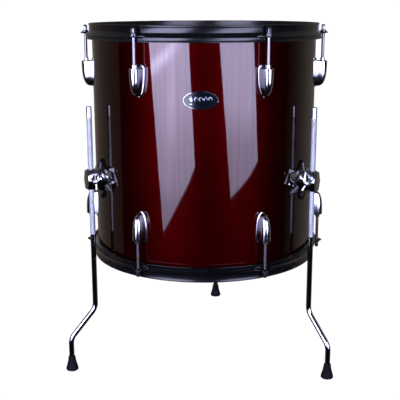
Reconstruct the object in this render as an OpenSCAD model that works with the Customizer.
// Floor tom: 16 x 16 in ply shell with two tensioned heads, standing on three
// adjustable legs. Millimetres. z = 0 is the playing surface of the batter
// head, +Z up, the badge faces -Y, so angle 0 is the front and angles grow
// towards +X. Pieces are drawn at the front and turned into place.

/* [Shell] */
// Outside diameter over the wrap
shell_d = 406.4; // [402:0.2:410]
// Shell depth between the two bearing edges
shell_depth = 400; // [380:1:420]
// Ply thickness
shell_wall = 7.5; // [6:0.5:9]
// Decorative wrap thickness
wrap_t = 0.5; // [0.3:0.1:0.8]

/* [Heads and hoops] */
// Drumhead film thickness
film_t = 0.3; // [0.2:0.05:0.4]
// Height of the hoop lip above the playing surface
lip_rise = 13; // [11:0.5:15]
// Overall hoop height
hoop_h = 27; // [25:0.5:30]
// Hoop sheet thickness
hoop_t = 2.3; // [1.6:0.1:2.5]

/* [Tensioning] */
// Lug length
lug_len = 53; // [48:1:60]
// Lug base width
lug_w = 23; // [22:0.5:25]
// Bearing edge to the open end of the lug
lug_gap = 50; // [44:1:56]
// Shell surface to the tension rod axis
rod_out = 14; // [13.8:0.1:15]
// Tension rod diameter
rod_d = 5.6; // [5.2:0.1:5.8]

/* [Leg brackets] */
// Height of the bracket centre below the playing surface
bracket_drop = 256.7; // [235:1:270]
// Bracket height, point to point
bracket_h = 71; // [64:1:78]
// Shell surface to the leg axis
leg_out = 22.3; // [22:0.1:24]
// Thumb screw thread diameter
wing_d = 6; // [5:0.5:7]

/* [Legs] */
// Leg bar diameter
leg_d = 9.5; // [9:0.1:10]
// Leg top below the playing surface
leg_top_drop = 126.5; // [100:1:150]
// Upper bend corner below the playing surface
bend1_drop = 498; // [480:1:520]
// Vertical distance between the two bend corners
bend_fall = 53; // [46:1:60]
// Sideways offset of the foot from the leg axis
foot_off = 48; // [40:1:52]
// Floor below the playing surface
floor_drop = 612; // [606:1:630]
// Turn of the left leg in its bracket, away from straight out
turn_left = -3; // [-180:1:180]
// Turn of the right leg in its bracket, away from straight out
turn_right = -15; // [-180:1:180]
// Turn of the rear leg in its bracket, away from straight out
turn_rear = -17; // [-180:1:180]

/* [Hidden] */
$fn = 64;
drum_fn = 128; // facets of everything turned about the drum axis

shell_r = shell_d / 2;
ply_r = shell_r - wrap_t;
bore_r = ply_r - shell_wall; // inside face of the shell
z_top = -film_t;
z_bottom = z_top - shell_depth;
z_mid = (z_top + z_bottom) / 2;
gasket_t = 0.8;
snug = 0.05; // radial clearances
loose = 0.25;
washer_play = 0.2;

lug_angles = [for (i = [0:5]) 30 + 60 * i];
lug_z = -lug_gap - film_t; // open end of the top lugs
rod_r = shell_r + rod_out;

// Positions of the three legs in the per-leg lists
left = 0;
right = 1;
rear = 2;
leg_angles = [-61.3, 58.7, 178.7];
leg_turns = [turn_left, turn_right, turn_rear];
wing_side = [1, -1, 1]; // local x direction of the wing screw
wing_tilt = [0, -28, 35];
bracket_z = -bracket_drop;
leg_r = shell_r + leg_out;
leg_bar_r = leg_d / 2;
bush_r = leg_bar_r + 1.45;

// Colours
ply_tan = [0.78, 0.62, 0.42];
wrap_red = [0.30, 0.01, 0.03];
grommet_grey = [0.8, 0.8, 0.83];
badge_silver = [0.75, 0.76, 0.8];
badge_navy = [0.02, 0.03, 0.08];
film_white = [0.93, 0.93, 0.91];
film_clear = [0.85, 0.87, 0.88, 0.6];
flesh_grey = [0.72, 0.73, 0.75];
hoop_black = [0.05, 0.05, 0.06];
cast_silver = [0.82, 0.83, 0.86];
gasket_black = [0.06, 0.06, 0.06];
nut_grey = [0.80, 0.80, 0.82];
sleeve_white = [0.9, 0.9, 0.88];
screw_grey = [0.7, 0.7, 0.72];
screw_washer_grey = [0.75, 0.75, 0.77];
rod_silver = [0.80, 0.81, 0.84];
rod_washer_grey = [0.6, 0.6, 0.63];
bush_black = [0.08, 0.08, 0.09];
leg_silver = [0.80, 0.81, 0.85];
foot_black = [0.10, 0.10, 0.11];

// ---- placing helpers ----
module at_angle(angle) rotate([0, 0, angle]) children();

// mirrors a top-end piece to the bottom end of the shell
module flip() translate([0, 0, 2 * z_mid]) mirror([0, 0, 1]) children();

module both_ends() {
  children();
  flip() children();
}

// all twelve lugs, z = 0 at the open end
module every_lug() both_ends() for (angle = lug_angles)
  at_angle(angle) translate([0, 0, lug_z]) children();

// z = 0 at the bracket centre
module at_bracket(leg) at_angle(leg_angles[leg]) translate([0, 0, bracket_z]) children();
module every_bracket() for (leg = [left, right, rear]) at_bracket(leg) children();

// ---- shape helpers ----
// x-z outline extruded outwards between two radii at the front
module outward(from, to)
  translate([0, -from, 0]) rotate([90, 0, 0]) linear_extrude(to - from) children();

module radial_cyl(radius, from, to, x = 0, z = 0)
  translate([x, -from, z]) rotate([90, 0, 0]) cylinder(r = radius, h = to - from);

// cylinder about the drum axis
module drum_cyl(radius, bottom, top)
  translate([0, 0, bottom]) cylinder(r = radius, h = top - bottom, $fn = drum_fn);

module radial_washer(radius, hole_r, from, to, x = 0, z = 0) difference() {
  radial_cyl(radius, from, to, x, z);
  radial_cyl(hole_r, from - 1, to + 1, x, z);
}

// screw from inside the shell; seat is the radius under its head, and
// socket_floor is how far the hex socket stops short of it
module shell_screw(shank_r, head_r, head_h, socket_r, socket_floor, seat, tip, x = 0, z = 0) {
  radial_cyl(shank_r, seat - 0.1, tip, x, z);
  difference() {
    radial_cyl(head_r, seat - head_h, seat, x, z);
    radial_cyl(socket_r, seat - head_h - 1, seat - socket_floor, x, z, $fn = 6);
  }
}

// ---- screw patterns ----
lug_screw_r = 2;
lug_screw_z = [-16, -40]; // from the open end of the lug
bracket_screw_r = 2.5;
bracket_screw_z = [-21, 21]; // upright pair
bracket_screw_x = [-30, 30]; // side pair

module lug_bores(radius, from, to)
  for (z = lug_screw_z) radial_cyl(radius, from, to, z = z);

module bracket_bores(radius, from, to, side_from, side_to) {
  for (z = bracket_screw_z) radial_cyl(radius, from, to, z = z);
  for (x = bracket_screw_x) radial_cyl(radius, side_from, side_to, x);
}

// ---- shell ----
edge_out = 2; // bearing edge peak, in from the ply face
edge_fall = 5.6; // height of the slope on the inside
wrap_inset = 4; // bearing edge to the edge of the wrap
vent_angle = 120;
vent_hole_r = 6.5;

module shell_holes() {
  every_lug() lug_bores(lug_screw_r + loose, bore_r - 5, shell_r + 5);
  every_bracket() bracket_bores(bracket_screw_r + loose,
    bore_r - 5, shell_r + 5, bore_r - 10, shell_r + 5);
  at_angle(vent_angle) radial_cyl(vent_hole_r, bore_r - 5, shell_r + 5, z = z_mid);
}

module shell() color(ply_tan) difference() {
  rotate_extrude($fn = drum_fn) polygon([
    [bore_r, z_top - edge_fall], [ply_r - edge_out, z_top], [ply_r, z_top - edge_out],
    [ply_r, z_bottom + edge_out], [ply_r - edge_out, z_bottom], [bore_r, z_bottom + edge_fall]]);
  shell_holes();
}

module shell_wrap() color(wrap_red) difference() {
  rotate_extrude($fn = drum_fn)
    translate([ply_r, z_bottom + wrap_inset]) square([wrap_t, shell_depth - 2 * wrap_inset]);
  shell_holes();
}

// tube with a flange on each face of the shell
module vent_grommet() color(grommet_grey) at_angle(vent_angle) difference() {
  union() {
    radial_cyl(vent_hole_r - 0.1, bore_r - 2, shell_r + 1.6, z = z_mid);
    radial_cyl(9.5, shell_r + 0.1, shell_r + 1.6, z = z_mid);
    radial_cyl(8.5, bore_r - 2, bore_r - 0.25, z = z_mid);
  }
  radial_cyl(5, bore_r - 5, shell_r + 5, z = z_mid);
}

// ---- badge: oval plate with a recess that holds the inlay ----
badge_z = -105.2;
recess_r = shell_r + 0.7; // radius of the recess floor

module oval(half_w, half_h)
  polygon([for (i = [0:71]) [half_w * cos(i * 5 + 2.5), half_h * sin(i * 5 + 2.5)]]);

// outline curved round the shell between two radii
module badge_slice(from, to) translate([0, 0, badge_z]) intersection() {
  difference() {
    drum_cyl(to, -40, 40);
    drum_cyl(from, -41, 41);
  }
  outward(shell_r - 8, shell_r + 8) children();
}

// five lozenges over a thin line
module ornament() {
  for (i = [-2:2])
    translate([i * 7.6, 1.6]) polygon([[-3.2, 0], [0, -4.6], [3.2, 0], [0, 4.6]]);
  translate([-18, -6.6]) square([36, 0.8]);
}

module badge_plate() color(badge_silver) difference() {
  badge_slice(shell_r, shell_r + 1.5) oval(29.2, 15.2);
  badge_slice(recess_r, shell_r + 3) difference() {
    oval(27.9, 14);
    ornament();
  }
}

module badge_inlay() color(badge_navy) badge_slice(recess_r, recess_r + 0.35) difference() {
  oval(27.8, 13.9);
  ornament();
}

// ---- heads ----
flesh_top = 4; // flesh hoop top, below the playing surface
flesh_h = 6.5;
flesh_w = 5;
flesh_in = shell_r + 0.7;
flesh_out = flesh_in + flesh_w;

// flat film, sloping over the edge and down inside the flesh hoop
module film() rotate_extrude($fn = drum_fn) polygon([
  [0, 0], [ply_r - 1.8, 0], [flesh_in, -2.98], [flesh_in, -9],
  [flesh_in - 0.3, -9], [flesh_in - 0.3, -3.1], [ply_r - 1.92, -film_t], [0, -film_t]]);

// square ring grooved from below
module flesh_hoop() rotate_extrude($fn = drum_fn) difference() {
  translate([flesh_in, -flesh_top - flesh_h]) square([flesh_w, flesh_h]);
  translate([flesh_in + 1.3, -flesh_top - flesh_h - 1]) square([2.4, 3.4]);
}

module batter_film() color(film_white) film();
module batter_flesh_hoop() color(flesh_grey) flesh_hoop();
module resonant_film() color(film_clear) flip() film();
module resonant_flesh_hoop() color(flesh_grey) flip() flesh_hoop();

// ---- counterhoop: lip, wall, slanted step over the flesh hoop, skirt, six ears ----
lip_r = shell_r + 5.6;
wall_r = shell_r + 4.8;
skirt_r = shell_r + 9.4;
hoop_bottom = lip_rise - hoop_h;
step_z = -flesh_top - 1.4; // underside of the step and of the ears
ear_t = 2.2;

module hoop_ring() rotate_extrude($fn = drum_fn) polygon([
  // outside, from the lip down
  [lip_r - 1.6, lip_rise], [lip_r, lip_rise - 0.4], [lip_r, lip_rise - 1.6],
  [wall_r, lip_rise - 4.4], [wall_r, 0.6], [skirt_r - 0.5, -5.6], [skirt_r, -6.6],
  [skirt_r, hoop_bottom + 2], [skirt_r + 1.2, hoop_bottom + 1.2], [skirt_r + 1.2, hoop_bottom],
  // inside, back up
  [skirt_r - hoop_t, hoop_bottom], [skirt_r - hoop_t, step_z], [flesh_out + 0.4, -flesh_top],
  [wall_r - hoop_t, -flesh_top], [wall_r - hoop_t, lip_rise - 4], [lip_r - 3.4, lip_rise - 0.6]]);

module ear_outline() {
  root_y = -(skirt_r - 5.5);
  neck_y = -rod_r - 3;
  translate([0, -rod_r]) circle(9);
  polygon([[-19, root_y], [19, root_y], [8.2, neck_y], [-8.2, neck_y]]);
}

module hoop() difference() {
  union() {
    hoop_ring();
    for (angle = lug_angles)
      at_angle(angle) translate([0, 0, step_z]) linear_extrude(ear_t) ear_outline();
  }
  for (angle = lug_angles)
    at_angle(angle) translate([0, -rod_r, -20]) cylinder(r = rod_d / 2 + 0.5, h = 30);
  // clear the ear roots from inside the skirt and over the flesh hoop
  drum_cyl(skirt_r - hoop_t, -30, step_z);
  drum_cyl(flesh_out + 0.4, -flesh_top - 1.5, -flesh_top);
}

module batter_hoop() color(hoop_black) hoop();
module resonant_hoop() color(hoop_black) flip() hoop();

// ---- lugs: open end at z = 0, tip at z = -lug_len, standing off the shell ----
lug_body_r = 8.8; // half width of the body round the rod
lug_body_z = -4.7; // open end of the body
lug_reach = rod_out + lug_body_r; // shell surface to the outside of the body
nut_r = 5.8;

// base plate: two long side arcs, widest at arc_z, closing on a round tip
module lug_outline(width, length, tip_r) {
  arc_z = -14;
  arc_fall = length + arc_z;
  sag = width / 2 - tip_r;
  arc_r = (arc_fall * arc_fall + sag * sag) / (2 * sag);
  cut = length - tip_r * 0.6;
  intersection() {
    translate([width / 2 - arc_r, arc_z]) circle(arc_r, $fn = 96);
    translate([-width / 2 + arc_r, arc_z]) circle(arc_r, $fn = 96);
    translate([-width, -cut]) square([2 * width, cut - 0.01]);
  }
  translate([0, -length + tip_r]) circle(tip_r);
}

// blunt half outline: full half width at the top, closing at the given depth
function blunt(half_w, depth, power) = [for (i = [0:20]) let(fall = sin(i * 4.5))
  [half_w * pow(max(0, 1 - pow(fall, power)), 1 / power), -depth * fall]];

module lug_front_half() polygon(concat([[0, 0]], blunt(lug_body_r, lug_len - 7.2, 2.3)));

module lug_side() {
  depth = lug_len - 6.2;
  polygon(concat(
    [[-4, 0], [lug_reach - 1.8, 0], [lug_reach - 0.6, -0.6], [lug_reach, -2]],
    [for (p = blunt(lug_reach, depth, 2.6)) if (p[1] < -3.4) p],
    [[-4, -depth]]));
}

// the overlap of the front, side and top outlines
module lug_body() intersection() {
  outward(shell_r - 4, shell_r + 40) translate([0, lug_body_z]) union() {
    lug_front_half();
    mirror([1, 0]) lug_front_half();
  }
  translate([20, 0, 0]) rotate([90, 0, -90]) linear_extrude(40)
    translate([shell_r, lug_body_z]) lug_side();
  translate([0, 0, -lug_len - 1]) linear_extrude(lug_len + 2) {
    translate([-lug_body_r, -rod_r]) square([2 * lug_body_r, rod_out + 4]);
    translate([0, -rod_r]) circle(lug_body_r);
  }
}

module lug_cast() difference() {
  union() {
    outward(shell_r - 4, shell_r + gasket_t + 1.9) lug_outline(lug_w, lug_len, 6);
    lug_body();
  }
  drum_cyl(shell_r + gasket_t, -lug_len - 10, 10);
  translate([0, -rod_r, -32]) cylinder(r = nut_r + 0.3, h = 40);
  lug_bores(lug_screw_r + snug, shell_r - 5, shell_r + 7);
}

module lug(number) color(cast_silver)
  at_angle(lug_angles[number - 1]) translate([0, 0, lug_z]) lug_cast();

module lug_top_1() lug(1);
module lug_top_2() lug(2);
module lug_top_3() lug(3);
module lug_top_4() lug(4);
module lug_top_5() lug(5);
module lug_top_6() lug(6);
module lug_bottom_1() flip() lug(1);
module lug_bottom_2() flip() lug(2);
module lug_bottom_3() flip() lug(3);
module lug_bottom_4() flip() lug(4);
module lug_bottom_5() flip() lug(5);
module lug_bottom_6() flip() lug(6);

module lug_gaskets() color(gasket_black) every_lug() difference() {
  intersection() {
    drum_cyl(shell_r + gasket_t, -lug_len - 10, 10);
    outward(shell_r - 8, shell_r + 2) lug_outline(lug_w + 0.8, lug_len + 0.4, 6.2);
  }
  drum_cyl(shell_r + 0.02, -lug_len - 11, 11);
  lug_bores(lug_screw_r + loose, shell_r - 8, shell_r + 7);
}

// wide nut with a narrow collar reaching the open end
module lug_nuts() color(nut_grey) every_lug() translate([0, -rod_r, 0]) difference() {
  union() {
    translate([0, 0, -20]) cylinder(r = nut_r, h = 14);
    translate([0, 0, -7]) cylinder(r = 4.1, h = 7.6);
  }
  translate([0, 0, -21]) cylinder(r = rod_d / 2 + snug, h = 30);
}

// closed-bottom cup under the nut
module lug_nut_sleeves() color(sleeve_white)
  every_lug() translate([0, -rod_r, -31.5]) difference() {
    cylinder(r = nut_r + 0.1, h = 11.4);
    translate([0, 0, 1.5]) cylinder(r = 4, h = 12);
  }

module lug_screws() color(screw_grey) every_lug() for (z = lug_screw_z)
  shell_screw(shank_r = lug_screw_r, head_r = 4, head_h = 3, socket_r = 1.5,
    socket_floor = 1.5, seat = bore_r - 0.9, tip = shell_r + 6.4, z = z);

module lug_screw_washers() color(screw_washer_grey) every_lug() for (z = lug_screw_z)
  radial_washer(5, lug_screw_r + washer_play, bore_r - 0.88, bore_r - 0.08, z = z);

// ---- tension rods: square head on a flange, plain round shank ----
flange_z = -1.6;
head_w = 6.4; // square head, across flats
head_h = 9.6;

module rod(number) color(rod_silver) at_angle(lug_angles[number - 1]) translate([0, -rod_r, 0]) {
  translate([0, 0, lug_z - 22]) cylinder(r = rod_d / 2, h = -lug_z + 22);
  rotate_extrude() polygon([[0, flange_z], [5.3, flange_z], [5.3, -0.7], [4.2, 0.4], [0, 0.4]]);
  translate([0, 0, 0.3]) intersection() {
    translate([-head_w / 2, -head_w / 2, 0]) cube([head_w, head_w, head_h]);
    rotate_extrude() polygon([[0, 0], [4.6, 0], [4.6, head_h - 2], [2.7, head_h], [0, head_h]]);
  }
}

module rod_top_1() rod(1);
module rod_top_2() rod(2);
module rod_top_3() rod(3);
module rod_top_4() rod(4);
module rod_top_5() rod(5);
module rod_top_6() rod(6);
module rod_bottom_1() flip() rod(1);
module rod_bottom_2() flip() rod(2);
module rod_bottom_3() flip() rod(3);
module rod_bottom_4() flip() rod(4);
module rod_bottom_5() flip() rod(5);
module rod_bottom_6() flip() rod(6);

// between the hoop ear and the rod flange
module rod_washers() color(rod_washer_grey) both_ends() for (angle = lug_angles)
  at_angle(angle) translate([0, -rod_r, step_z + ear_t + 0.02]) difference() {
    cylinder(r = 6.2, h = 1.56);
    translate([0, 0, -1]) cylinder(r = rod_d / 2 + loose, h = 5);
  }

// ---- leg brackets: faceted star casting with a hexagonal leg block ----
// x, z outlines on the shell
bar_points = [[-46, 0], [-39, -17], [0, -20.5], [39, -17], [46, 0], [39, 17], [0, 20.5], [-39, 17]];
diamond_points = [[-24, 0], [0, -bracket_h / 2], [24, 0], [0, bracket_h / 2]];
block_in = leg_r - 10.1; // where the neck meets the leg block
boss_h = 15.5;
mid_seat = bore_r - 0.98; // under the heads of the upright screws
side_seat = bore_r - 4.4; // under the heads of the side screws

// each point moved away from both axes, unless it lies on one
function grown(points, by) = [for (p = points) [p[0] + by * sign(p[0]), p[1] + by * sign(p[1])]];

// tiny cube marking a hull corner
module corner(x, radius, z) translate([x, -radius, z]) cube(0.3, center = true);

module hexagon_corners(radius, half_w, half_h) {
  for (z = [-half_h, half_h], x = [-half_w * 0.62, half_w * 0.62]) corner(x, radius, z);
  for (x = [-half_w, half_w]) corner(x, radius, 0);
}

// long horizontal bar with a ridged front
module bracket_bar() hull() {
  corner(0, shell_r + 9, 0);
  for (x = [-46, 46]) corner(x, shell_r + 1.2, 0);
  for (z = [-20.5, 20.5]) corner(0, shell_r + 2.9, z);
  for (x = [-39, 39], z = [-17, 17]) corner(x, shell_r - 0.9, z);
  for (p = bar_points) corner(p[0], shell_r - 14, p[1]);
}

module bracket_diamond() hull() {
  for (z = [-bracket_h / 2, bracket_h / 2]) corner(0, shell_r + 5, z);
  for (x = [-24, 24]) corner(x, shell_r + 1.6, 0);
  for (p = diamond_points) corner(p[0], shell_r - 10, p[1]);
  for (z = [-19, 19]) corner(0, shell_r + 11.5, z);
  for (x = [-14.5, 14.5]) corner(x, shell_r + 11.5, 0);
}

// side is +1 or -1, the x direction of the wing screw boss
module bracket_cast(side) difference() {
  union() {
    bracket_bar();
    bracket_diamond();
    hull() { // neck
      hexagon_corners(shell_r + 5, 18, 22);
      hexagon_corners(block_in, 13.4, 17);
    }
    hull() { // leg block
      hexagon_corners(block_in, 13.4, 17);
      hexagon_corners(leg_r + 7.9, 13, 16.5);
      hexagon_corners(leg_r + 8.9, 12, 15.5);
    }
    translate([0, -leg_r, 0]) rotate([0, side * 90, 0]) cylinder(r = 5.6, h = boss_h);
  }
  drum_cyl(shell_r + gasket_t, -60, 60);
  translate([0, -leg_r, -40]) cylinder(r = bush_r + 0.06, h = 80);
  translate([0, -leg_r, 0]) rotate([0, side * 90, 0]) cylinder(r = wing_d / 2 + snug, h = 30);
  bracket_bores(bracket_screw_r + snug, shell_r - 5, shell_r + 7, shell_r - 8, shell_r + 2.4);
}

module bracket(leg) color(cast_silver) at_bracket(leg) bracket_cast(wing_side[leg]);
module bracket_left() bracket(left);
module bracket_right() bracket(right);
module bracket_rear() bracket(rear);

module bracket_gaskets() color(gasket_black) every_bracket() difference() {
  intersection() {
    drum_cyl(shell_r + gasket_t, -60, 60);
    outward(shell_r - 14, shell_r + 2) {
      polygon(grown(diamond_points, 0.4));
      polygon(grown(bar_points, 0.3));
    }
  }
  drum_cyl(shell_r + 0.02, -61, 61);
  bracket_bores(bracket_screw_r + loose, shell_r - 14, shell_r + 7, shell_r - 14, shell_r + 7);
}

module bracket_screw(seat, tip, x = 0, z = 0)
  shell_screw(shank_r = bracket_screw_r, head_r = 4.8, head_h = 3.7, socket_r = 2,
    socket_floor = 1.9, seat = seat, tip = tip, x = x, z = z);

module bracket_screws() color(screw_grey) every_bracket() {
  for (z = bracket_screw_z) bracket_screw(mid_seat, shell_r + 6.6, z = z);
  for (x = bracket_screw_x) bracket_screw(side_seat, shell_r + 2, x = x);
}

module bracket_screw_washers() color(screw_washer_grey) every_bracket() {
  hole_r = bracket_screw_r + washer_play;
  for (z = bracket_screw_z) radial_washer(6, hole_r, mid_seat, mid_seat + 0.88, z = z);
  for (x = bracket_screw_x) radial_washer(6, hole_r, side_seat, side_seat + 0.98, x);
}

// ---- plastic bush lining each leg bore; the screw tip bears on it ----
module bush(leg) color(bush_black) at_bracket(leg) translate([0, -leg_r, 0]) difference() {
  union() {
    translate([0, 0, -16.4]) cylinder(r = bush_r, h = 34.2);
    translate([0, 0, 17.3]) cylinder(r = bush_r + 1, h = 1.4);
  }
  translate([0, 0, -30]) cylinder(r = leg_bar_r + snug, h = 60);
}
module bush_left() bush(left);
module bush_right() bush(right);
module bush_rear() bush(rear);

// ---- wing screws: drawn along +x from the leg axis ----
module wing_outline() {
  translate([16.4, -4.4]) square([8.6, 8.8]);
  for (side = [-1, 1]) {
    translate([24.2, side * 11.6]) circle(4.6);
    polygon([[17.6, 0], [17.6, side * 4], [20.2, side * 13.2],
      [28, side * 9.2], [25, side * 3.2], [25, 0]]);
  }
}

module wing_screw(leg) color(cast_silver) at_bracket(leg) translate([0, -leg_r, 0])
  rotate([0, 0, wing_side[leg] > 0 ? 0 : 180]) rotate([wing_tilt[leg], 0, 0]) {
    rotate([0, 90, 0]) translate([0, 0, bush_r + 0.05]) cylinder(r = wing_d / 2, h = 16);
    rotate([0, 90, 0]) translate([0, 0, boss_h + 0.4]) cylinder(r1 = 5.4, r2 = 4.2, h = 9.6);
    rotate([90, 0, 0]) translate([0, 0, -1.3]) linear_extrude(2.6) wing_outline();
  }
module wing_screw_left() wing_screw(left);
module wing_screw_right() wing_screw(right);
module wing_screw_rear() wing_screw(rear);

// ---- legs: straight bar, offset towards +x by two bends, short vertical end ----
leg_tilt = atan(foot_off / bend_fall);
bend_r = 26;
bend_cut = bend_r * tan(leg_tilt / 2); // bend corner to the start of the arc
slant_len = sqrt(foot_off * foot_off + bend_fall * bend_fall) - 2 * bend_cut;
upper_z = -bend1_drop + bend_cut; // start of the upper bend
lower_z = -bend1_drop - bend_fall - bend_cut; // end of the lower bend
elbow_r = leg_bar_r + 0.03; // the bends are a hair fatter, so the bars end inside them
overlap = 0.3; // bar ends run this far into the bends
foot_h = 27;
socket_z = 5.9; // socket floor, above the ground

module bend() rotate_extrude(angle = leg_tilt) translate([bend_r, 0]) circle(elbow_r);

module leg_bar() {
  bar_end = -floor_drop + socket_z + 0.1;
  rotate_extrude() polygon([[0, upper_z - overlap], [leg_bar_r, upper_z - overlap],
    [leg_bar_r, -leg_top_drop - 1.2], [leg_bar_r - 1.2, -leg_top_drop], [0, -leg_top_drop]]);
  // upper bend, turning outwards
  translate([bend_r, 0, upper_z]) rotate([90, 0, 0]) rotate([0, 0, 180]) bend();
  translate([0, 0, -bend1_drop]) rotate([0, 180 - leg_tilt, 0])
    translate([0, 0, bend_cut - overlap]) cylinder(r = leg_bar_r, h = slant_len + 2 * overlap);
  // lower bend, back to vertical
  translate([foot_off - bend_r, 0, lower_z]) rotate([90, 0, 0]) bend();
  translate([foot_off, 0, bar_end]) cylinder(r = leg_bar_r, h = lower_z + overlap - bar_end);
}

module place_leg(leg) at_angle(leg_angles[leg]) translate([0, -leg_r, 0])
  rotate([0, 0, -90 + leg_turns[leg]]) children();

module leg_left() color(leg_silver) place_leg(left) leg_bar();
module leg_right() color(leg_silver) place_leg(right) leg_bar();
module leg_rear() color(leg_silver) place_leg(rear) leg_bar();

// ---- rubber feet ----
module foot() color(foot_black) translate([foot_off, 0, -floor_drop]) rotate_extrude() polygon([
  [0, 0], [10.3, 0], [11.2, 1.2], [11.2, 3.2], [10.5, 6], [9.3, 10.5], [8.0, 16], [6.9, 21.5],
  [6.3, foot_h - 1], [5.7, foot_h],
  [leg_bar_r + 0.01, foot_h], [leg_bar_r + 0.01, socket_z], [0, socket_z]]);
module foot_left() place_leg(left) foot();
module foot_right() place_leg(right) foot();
module foot_rear() place_leg(rear) foot();

shell();
shell_wrap();
badge_plate();
badge_inlay();
vent_grommet();
batter_film();
batter_flesh_hoop();
resonant_film();
resonant_flesh_hoop();
batter_hoop();
resonant_hoop();
lug_top_1();
lug_top_2();
lug_top_3();
lug_top_4();
lug_top_5();
lug_top_6();
lug_bottom_1();
lug_bottom_2();
lug_bottom_3();
lug_bottom_4();
lug_bottom_5();
lug_bottom_6();
lug_gaskets();
lug_nuts();
lug_nut_sleeves();
lug_screws();
lug_screw_washers();
rod_top_1();
rod_top_2();
rod_top_3();
rod_top_4();
rod_top_5();
rod_top_6();
rod_bottom_1();
rod_bottom_2();
rod_bottom_3();
rod_bottom_4();
rod_bottom_5();
rod_bottom_6();
rod_washers();
bracket_left();
bracket_right();
bracket_rear();
bracket_gaskets();
bracket_screws();
bracket_screw_washers();
bush_left();
bush_right();
bush_rear();
wing_screw_left();
wing_screw_right();
wing_screw_rear();
leg_left();
leg_right();
leg_rear();
foot_left();
foot_right();
foot_rear();
